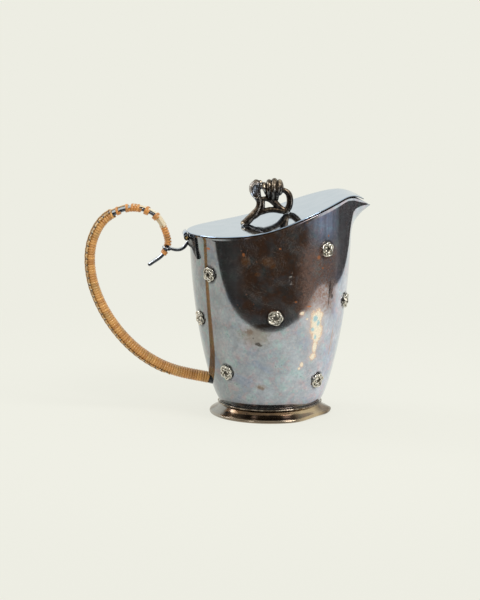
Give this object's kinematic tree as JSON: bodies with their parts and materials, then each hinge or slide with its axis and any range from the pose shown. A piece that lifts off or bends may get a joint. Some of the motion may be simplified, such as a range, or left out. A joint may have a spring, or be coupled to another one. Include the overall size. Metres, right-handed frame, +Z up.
{
  "type": "lidded cream jug",
  "caption": "Footed silver jug with a pointed spout, a hinged lid with a cast finial, applied rosettes and a cane-wrapped scroll handle.",
  "frame": {"origin": "centre of the bounding box at the plane the foot stands on", "axes": "+X towards the spout, -X towards the handle, +Z up; the jug is near enough symmetric about Y = 0"},
  "size_m": [0.1594, 0.0912, 0.1318],
  "materials": {
    "tarnished_silver": "polished silver plate with brown and blue tarnish",
    "lid_silver": "polished, lightly tarnished",
    "foot_silver": "polished with brown-gold tarnish",
    "cast_silver": "cast, oxidised in the recesses",
    "blackened_metal": "dull, blackened",
    "brass": "dull brass",
    "cane": "worn split cane, satin"
  },
  "bodies": {
    "jug": {"vessel_body": "tarnished_silver", "vessel_bottom": "tarnished_silver", "foot_ring": "foot_silver", "foot_bead": "foot_silver", "rosette_01": "cast_silver", "rosette_02": "cast_silver", "rosette_03": "cast_silver", "rosette_04": "cast_silver", "rosette_05": "cast_silver", "rosette_06": "cast_silver", "rosette_07": "cast_silver", "rosette_08": "cast_silver", "rosette_09": "cast_silver", "rosette_10": "cast_silver", "rosette_11": "cast_silver", "rosette_12": "cast_silver", "rosette_13": "cast_silver", "hinge_knuckle_near": "blackened_metal", "hinge_knuckle_far": "blackened_metal", "hinge_bracket": "blackened_metal", "handle_rod": "blackened_metal", "handle_socket": "blackened_metal", "handle_tie_wire": "blackened_metal", "hinge_pin": "brass", "cane_wrap_grip": "cane", "cane_spine": "cane", "cane_wrap_scroll": "cane", "cane_wrap_tail": "cane", "cane_turn_1": "cane", "cane_turn_2": "cane", "cane_turn_3": "cane", "cane_turn_4": "cane", "cane_turn_5": "cane"},
    "lid": {"lid_plate": "lid_silver", "lid_hinge_leaf": "lid_silver", "lid_finial": "cast_silver", "finial_stud_rear": "brass", "finial_stud_front": "brass", "finial_nut_rear": "brass", "finial_nut_front": "brass"}
  },
  "joints": [
    {"name": "lid_hinge", "type": "hinge", "parent": "jug", "child": "lid", "pos_m": [-0.02326, 0, 0.1004], "axis": [0, -1, 0], "range_deg": [0, 105]}
  ]
}
